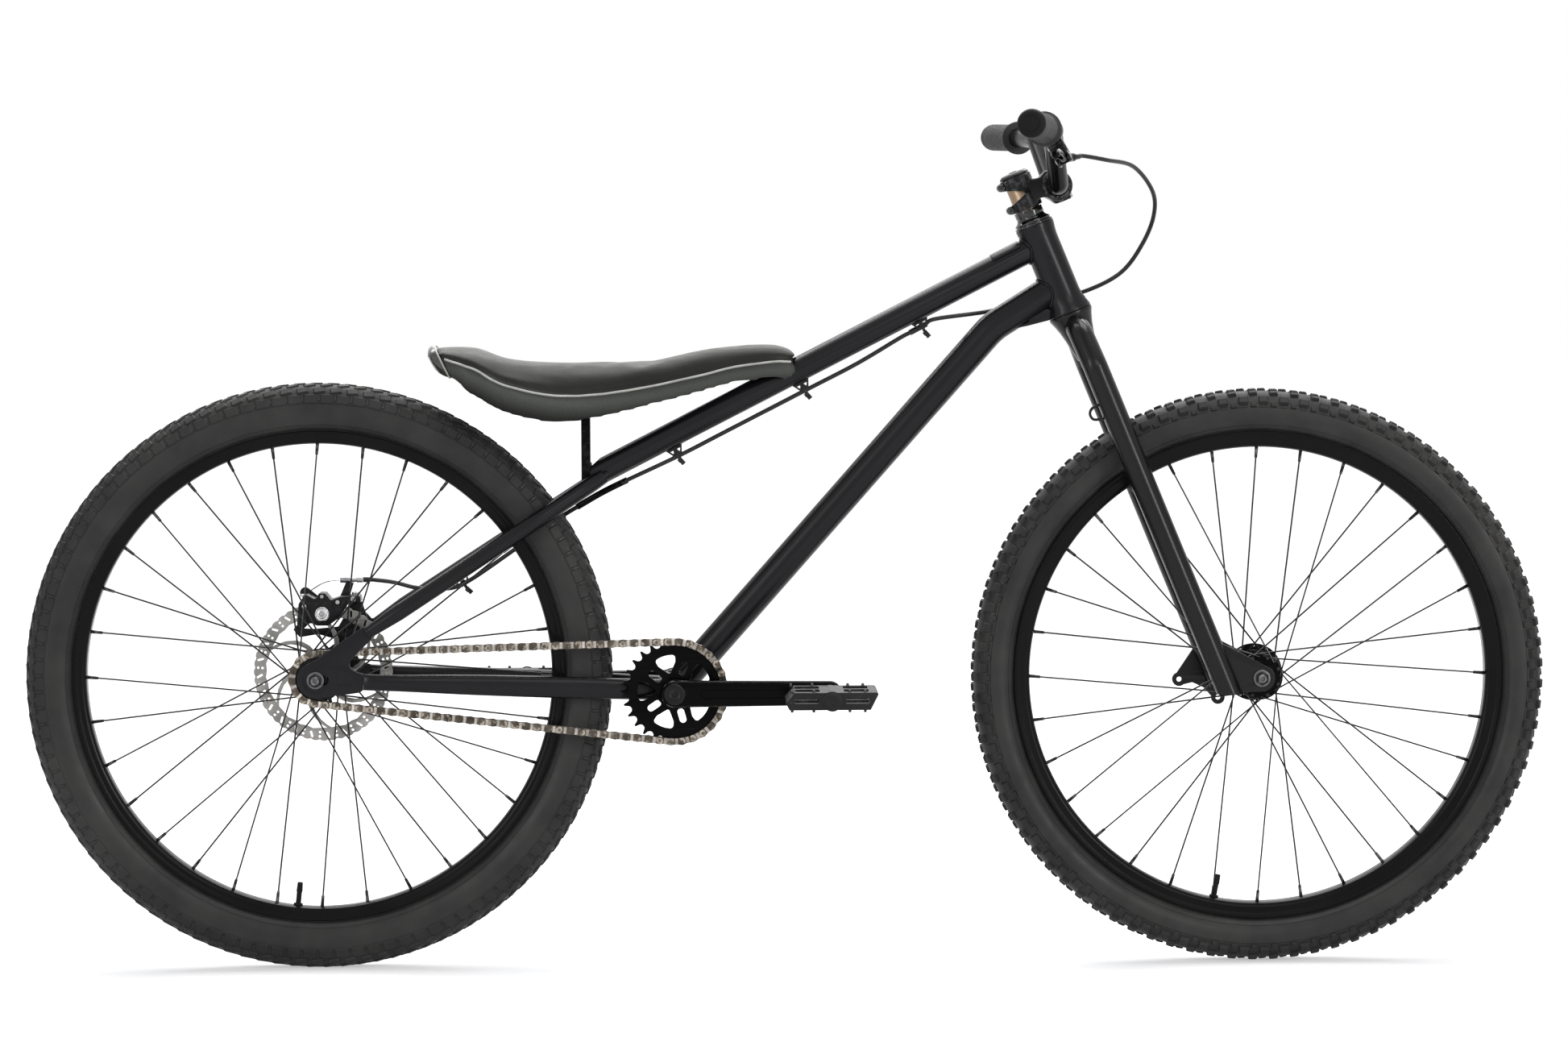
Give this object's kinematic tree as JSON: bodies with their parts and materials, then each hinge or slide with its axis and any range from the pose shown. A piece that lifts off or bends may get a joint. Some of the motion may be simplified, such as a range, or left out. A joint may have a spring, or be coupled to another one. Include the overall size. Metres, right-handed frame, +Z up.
{
  "type": "dirt jump bike",
  "caption": "Low framed single speed bicycle with straight steel fork, riser bar, padded seat, laced wheels and a hand lever working a rear disc brake.",
  "frame": {"origin": "on the ground, under the middle of the object's bounding box", "axes": "+X forward, from the rear wheel to the front wheel, +Y to the rider's left, +Z up"},
  "size_m": [1.7322, 0.744, 0.9657],
  "materials": {
    "head_tube": "gloss",
    "top_tube": "gloss",
    "down_tube": "gloss",
    "bottom_bracket_shell": "gloss",
    "seat_stay_right": "gloss",
    "seat_stay_left": "gloss",
    "chain_stay_right": "gloss",
    "chain_stay_left": "gloss",
    "dropout_right": "satin",
    "dropout_left": "satin",
    "seat_cover": "matte",
    "seat_base": "matte",
    "seat_post": "satin",
    "rear_axle": "satin",
    "rear_axle_nut_right": "satin",
    "rear_axle_nut_left": "satin",
    "headset_bearing_top": "satin",
    "headset_bearing_bottom": "satin",
    "bottom_bracket_cup_right": "satin",
    "bottom_bracket_cup_left": "satin",
    "brake_caliper": "satin",
    "caliper_adapter": "satin",
    "brake_pad_fixed": "matte",
    "brake_housing_rear": "gloss",
    "brake_cable": "satin",
    "brake_housing_front": "gloss",
    "chain": "satin",
    "fork_crown": "gloss",
    "fork_leg_right": "gloss",
    "fork_leg_left": "gloss",
    "stem": "satin",
    "stem_faceplate": "satin",
    "stem_cap": "satin",
    "headset_cover": "satin",
    "handlebar": "gloss",
    "grip_right": "matte",
    "grip_left": "matte",
    "brake_lever_perch": "gloss",
    "front_axle": "satin",
    "front_axle_nut_right": "satin",
    "front_axle_nut_left": "satin",
    "brake_lever": "gloss",
    "front_tyre": "matte",
    "front_rim": "gloss",
    "front_hub": "gloss",
    "rear_tyre": "matte",
    "rear_rim": "gloss",
    "rear_hub": "gloss",
    "brake_rotor": "satin",
    "rear_cog": "satin",
    "crank_spindle": "satin",
    "crank_arm_right": "gloss",
    "crank_arm_left": "gloss",
    "chainring": "gloss",
    "pedal_spindle_right": "satin",
    "pedal_spindle_left": "satin",
    "pedal_right": "matte",
    "pedal_left": "matte",
    "brake_arm": "satin",
    "brake_pad_moving": "matte"
  },
  "bodies": {
    "frame": {"head_tube": "head_tube", "top_tube": "top_tube", "down_tube": "down_tube", "bottom_bracket_shell": "bottom_bracket_shell", "seat_stay_right": "seat_stay_right", "seat_stay_left": "seat_stay_left", "chain_stay_right": "chain_stay_right", "chain_stay_left": "chain_stay_left", "dropout_right": "dropout_right", "dropout_left": "dropout_left", "seat_cover": "seat_cover", "seat_base": "seat_base", "seat_post": "seat_post", "rear_axle": "rear_axle", "rear_axle_nut_right": "rear_axle_nut_right", "rear_axle_nut_left": "rear_axle_nut_left", "headset_bearing_top": "headset_bearing_top", "headset_bearing_bottom": "headset_bearing_bottom", "bottom_bracket_cup_right": "bottom_bracket_cup_right", "bottom_bracket_cup_left": "bottom_bracket_cup_left", "brake_caliper": "brake_caliper", "caliper_adapter": "caliper_adapter", "brake_pad_fixed": "brake_pad_fixed", "brake_housing_rear": "brake_housing_rear", "brake_cable": "brake_cable", "brake_housing_front": "brake_housing_front", "chain": "chain"},
    "steering": {"fork_crown": "fork_crown", "fork_leg_right": "fork_leg_right", "fork_leg_left": "fork_leg_left", "stem": "stem", "stem_faceplate": "stem_faceplate", "stem_cap": "stem_cap", "headset_cover": "headset_cover", "handlebar": "handlebar", "grip_right": "grip_right", "grip_left": "grip_left", "brake_lever_perch": "brake_lever_perch", "front_axle": "front_axle", "front_axle_nut_right": "front_axle_nut_right", "front_axle_nut_left": "front_axle_nut_left"},
    "lever": {"brake_lever": "brake_lever"},
    "front_wheel": {"front_tyre": "front_tyre", "front_rim": "front_rim", "front_hub": "front_hub"},
    "rear_wheel": {"rear_tyre": "rear_tyre", "rear_rim": "rear_rim", "rear_hub": "rear_hub", "brake_rotor": "brake_rotor"},
    "freewheel": {"rear_cog": "rear_cog"},
    "crank": {"crank_spindle": "crank_spindle", "crank_arm_right": "crank_arm_right", "crank_arm_left": "crank_arm_left", "chainring": "chainring", "pedal_spindle_right": "pedal_spindle_right", "pedal_spindle_left": "pedal_spindle_left"},
    "pedal_right": {"pedal_right": "pedal_right"},
    "pedal_left": {"pedal_left": "pedal_left"},
    "brake_arm": {"brake_arm": "brake_arm"},
    "pad": {"brake_pad_moving": "brake_pad_moving"}
  },
  "joints": [
    {"name": "steering", "type": "hinge", "parent": "frame", "child": "steering", "pos_m": [0.2853, 0, 0.84231], "axis": [-0.3778, 0, 0.9259], "range_deg": [-60, 60], "deforming": ["brake_housing_front"]},
    {"name": "front_wheel_spin", "type": "hinge", "parent": "steering", "child": "front_wheel", "pos_m": [0.5384, 0, 0.3277], "axis": [0, 1, 0], "continuous": true},
    {"name": "rear_wheel_spin", "type": "hinge", "parent": "frame", "child": "rear_wheel", "pos_m": [-0.5321, 0, 0.334], "axis": [0, 1, 0], "continuous": true},
    {"name": "freewheel_spin", "type": "hinge", "parent": "frame", "child": "freewheel", "pos_m": [-0.5321, 0, 0.334], "axis": [0, 1, 0], "continuous": true},
    {"name": "crank_spin", "type": "hinge", "parent": "frame", "child": "crank", "pos_m": [-0.12707, 0, 0.3164], "axis": [0, 1, 0], "continuous": true, "deforming": ["chain"]},
    {"name": "pedal_right_spin", "type": "hinge", "parent": "crank", "child": "pedal_right", "pos_m": [0.04793, 0, 0.3164], "axis": [0, 1, 0], "continuous": true},
    {"name": "pedal_left_spin", "type": "hinge", "parent": "crank", "child": "pedal_left", "pos_m": [-0.30207, 0, 0.3164], "axis": [0, 1, 0], "continuous": true},
    {"name": "brake_lever_pull", "type": "hinge", "parent": "steering", "child": "lever", "pos_m": [0.30467, -0.20662, 0.91401], "axis": [-0.8583, 0.133, -0.4956], "range_deg": [0, 7]},
    {"name": "brake_arm_turn", "type": "hinge", "parent": "frame", "child": "brake_arm", "pos_m": [-0.532, 0, 0.4012], "axis": [0, 1, 0], "range_deg": [0, 20], "deforming": ["brake_cable"]},
    {"name": "pad_slide", "type": "slide", "parent": "frame", "child": "pad", "axis": [0, -1, 0], "range_m": [0, 0.0004]}
  ],
  "couplings": [
    {"joint": "freewheel_spin", "follows": "crank_spin", "ratio": 2},
    {"joint": "brake_arm_turn", "follows": "brake_lever_pull", "ratio": 2.857},
    {"joint": "pad_slide", "follows": "brake_lever_pull", "m_per_rad": 0.00327}
  ]
}
